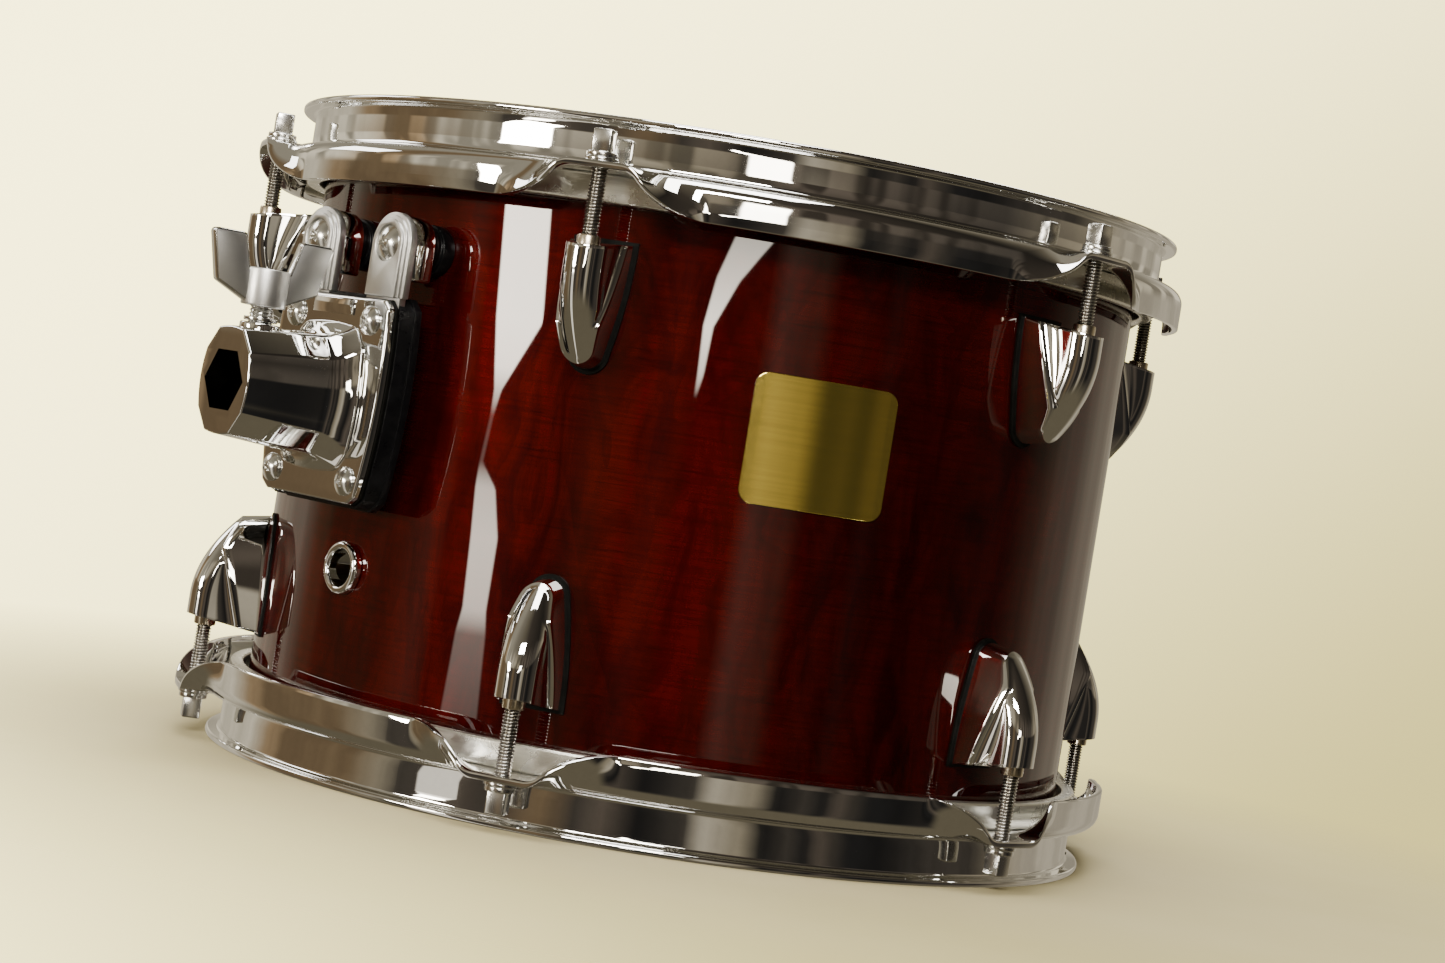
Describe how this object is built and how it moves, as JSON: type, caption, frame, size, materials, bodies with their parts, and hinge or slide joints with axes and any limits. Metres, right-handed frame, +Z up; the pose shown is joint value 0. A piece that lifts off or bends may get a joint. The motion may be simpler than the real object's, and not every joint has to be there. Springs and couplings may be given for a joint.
{
  "type": "tom tom drum",
  "caption": "Cylindrical rack tom tom drum: lacquered wood shell, tensioned heads in pressed steel hoops, rod lugs and a suspended side receiver that clamps onto a stand's arm.",
  "frame": {"origin": "centre of the bottom rim's lower face", "axes": "+Z up along the drum's axis, -X towards the arm receiver"},
  "size_m": [0.389, 0.3534, 0.23],
  "materials": {
    "lacquer": "deep red gloss lacquer over maple",
    "chrome": "mirror chrome plate",
    "steel": "bright plated steel",
    "nickel": "satin nickel",
    "satin_zinc": "satin die-cast zinc",
    "flesh_aluminium": "matt aluminium",
    "badge_brass": "brushed and lacquered",
    "coated_film": "coated film",
    "clear_film": "clear film",
    "gasket_rubber": "thin black gasket",
    "mount_rubber": "moulded black rubber"
  },
  "bodies": {
    "drum_body": {"shell": "lacquer", "badge": "badge_brass", "vent_grommet": "chrome", "vent_backing_ring": "steel", "top_lug_1": "chrome", "top_lug_2": "chrome", "top_lug_3": "chrome", "top_lug_4": "chrome", "top_lug_5": "chrome", "top_lug_6": "chrome", "bottom_lug_1": "chrome", "bottom_lug_2": "chrome", "bottom_lug_3": "chrome", "bottom_lug_4": "chrome", "bottom_lug_5": "chrome", "bottom_lug_6": "chrome", "top_lug_gaskets": "gasket_rubber", "bottom_lug_gaskets": "gasket_rubber", "top_lug_nuts": "nickel", "bottom_lug_nuts": "nickel", "lug_screws": "steel", "lug_screw_washers": "steel", "mount_bracket": "satin_zinc", "ear_screws": "steel", "ear_posts": "chrome", "ear_bushes": "mount_rubber", "ear_washers": "steel", "ear_nuts": "steel", "mount_cushion": "mount_rubber", "mount_gasket": "gasket_rubber", "arm_receiver": "chrome", "receiver_screws": "steel"},
    "top_rim": {"top_hoop": "chrome", "batter_head": "coated_film", "batter_flesh_hoop": "flesh_aluminium", "top_rod_washers": "steel"},
    "bottom_rim": {"bottom_hoop": "chrome", "resonant_head": "clear_film", "resonant_flesh_hoop": "flesh_aluminium", "bottom_rod_washers": "steel"},
    "top_rod_1": {"top_rod_1": "steel"},
    "top_rod_2": {"top_rod_2": "steel"},
    "top_rod_3": {"top_rod_3": "steel"},
    "top_rod_4": {"top_rod_4": "steel"},
    "top_rod_5": {"top_rod_5": "steel"},
    "top_rod_6": {"top_rod_6": "steel"},
    "bottom_rod_1": {"bottom_rod_1": "steel"},
    "bottom_rod_2": {"bottom_rod_2": "steel"},
    "bottom_rod_3": {"bottom_rod_3": "steel"},
    "bottom_rod_4": {"bottom_rod_4": "steel"},
    "bottom_rod_5": {"bottom_rod_5": "steel"},
    "bottom_rod_6": {"bottom_rod_6": "steel"},
    "clamp_shoe": {"clamp_shoe": "steel"},
    "wing_bolt": {"wing_bolt": "satin_zinc"}
  },
  "joints": [
    {"name": "top_rim_slide", "type": "slide", "parent": "drum_body", "child": "top_rim", "axis": [0, 0, 1], "range_m": [0, 0.008]},
    {"name": "top_rod_1_turn", "type": "hinge", "parent": "top_rim", "child": "top_rod_1", "pos_m": [-0.14417, -0.09009, 0.215], "axis": [0, 0, 1], "range_deg": [0, 2722]},
    {"name": "top_rod_2_turn", "type": "hinge", "parent": "top_rim", "child": "top_rod_2", "pos_m": [0.00593, -0.1699, 0.215], "axis": [0, 0, 1], "range_deg": [0, 2722]},
    {"name": "top_rod_3_turn", "type": "hinge", "parent": "top_rim", "child": "top_rod_3", "pos_m": [0.1501, -0.07981, 0.215], "axis": [0, 0, 1], "range_deg": [0, 2722]},
    {"name": "top_rod_4_turn", "type": "hinge", "parent": "top_rim", "child": "top_rod_4", "pos_m": [0.14417, 0.09009, 0.215], "axis": [0, 0, 1], "range_deg": [0, 2722]},
    {"name": "top_rod_5_turn", "type": "hinge", "parent": "top_rim", "child": "top_rod_5", "pos_m": [-0.00593, 0.1699, 0.215], "axis": [0, 0, 1], "range_deg": [0, 2722]},
    {"name": "top_rod_6_turn", "type": "hinge", "parent": "top_rim", "child": "top_rod_6", "pos_m": [-0.1501, 0.07981, 0.215], "axis": [0, 0, 1], "range_deg": [0, 2722]},
    {"name": "bottom_rim_slide", "type": "slide", "parent": "drum_body", "child": "bottom_rim", "axis": [0, 0, -1], "range_m": [0, 0.008]},
    {"name": "bottom_rod_1_turn", "type": "hinge", "parent": "bottom_rim", "child": "bottom_rod_1", "pos_m": [-0.14417, -0.09009, 0.015], "axis": [0, 0, -1], "range_deg": [0, 2722]},
    {"name": "bottom_rod_2_turn", "type": "hinge", "parent": "bottom_rim", "child": "bottom_rod_2", "pos_m": [0.00593, -0.1699, 0.015], "axis": [0, 0, -1], "range_deg": [0, 2722]},
    {"name": "bottom_rod_3_turn", "type": "hinge", "parent": "bottom_rim", "child": "bottom_rod_3", "pos_m": [0.1501, -0.07981, 0.015], "axis": [0, 0, -1], "range_deg": [0, 2722]},
    {"name": "bottom_rod_4_turn", "type": "hinge", "parent": "bottom_rim", "child": "bottom_rod_4", "pos_m": [0.14417, 0.09009, 0.015], "axis": [0, 0, -1], "range_deg": [0, 2722]},
    {"name": "bottom_rod_5_turn", "type": "hinge", "parent": "bottom_rim", "child": "bottom_rod_5", "pos_m": [-0.00593, 0.1699, 0.015], "axis": [0, 0, -1], "range_deg": [0, 2722]},
    {"name": "bottom_rod_6_turn", "type": "hinge", "parent": "bottom_rim", "child": "bottom_rod_6", "pos_m": [-0.1501, 0.07981, 0.015], "axis": [0, 0, -1], "range_deg": [0, 2722]},
    {"name": "clamp_shoe_slide", "type": "slide", "parent": "drum_body", "child": "clamp_shoe", "axis": [0, 0, 1], "range_m": [0, 0.0025]},
    {"name": "wing_bolt_turn", "type": "hinge", "parent": "clamp_shoe", "child": "wing_bolt", "pos_m": [-0.20018, 0, 0.1573], "axis": [0, 0, 1], "range_deg": [0, 721]}
  ],
  "couplings": [
    {"joint": "top_rod_1_turn", "follows": "top_rim_slide", "rad_per_m": 5936.9},
    {"joint": "top_rod_2_turn", "follows": "top_rim_slide", "rad_per_m": 5936.9},
    {"joint": "top_rod_3_turn", "follows": "top_rim_slide", "rad_per_m": 5936.9},
    {"joint": "top_rod_4_turn", "follows": "top_rim_slide", "rad_per_m": 5936.9},
    {"joint": "top_rod_5_turn", "follows": "top_rim_slide", "rad_per_m": 5936.9},
    {"joint": "top_rod_6_turn", "follows": "top_rim_slide", "rad_per_m": 5936.9},
    {"joint": "bottom_rod_1_turn", "follows": "bottom_rim_slide", "rad_per_m": 5936.9},
    {"joint": "bottom_rod_2_turn", "follows": "bottom_rim_slide", "rad_per_m": 5936.9},
    {"joint": "bottom_rod_3_turn", "follows": "bottom_rim_slide", "rad_per_m": 5936.9},
    {"joint": "bottom_rod_4_turn", "follows": "bottom_rim_slide", "rad_per_m": 5936.9},
    {"joint": "bottom_rod_5_turn", "follows": "bottom_rim_slide", "rad_per_m": 5936.9},
    {"joint": "bottom_rod_6_turn", "follows": "bottom_rim_slide", "rad_per_m": 5936.9},
    {"joint": "wing_bolt_turn", "follows": "clamp_shoe_slide", "rad_per_m": 5026.5}
  ]
}
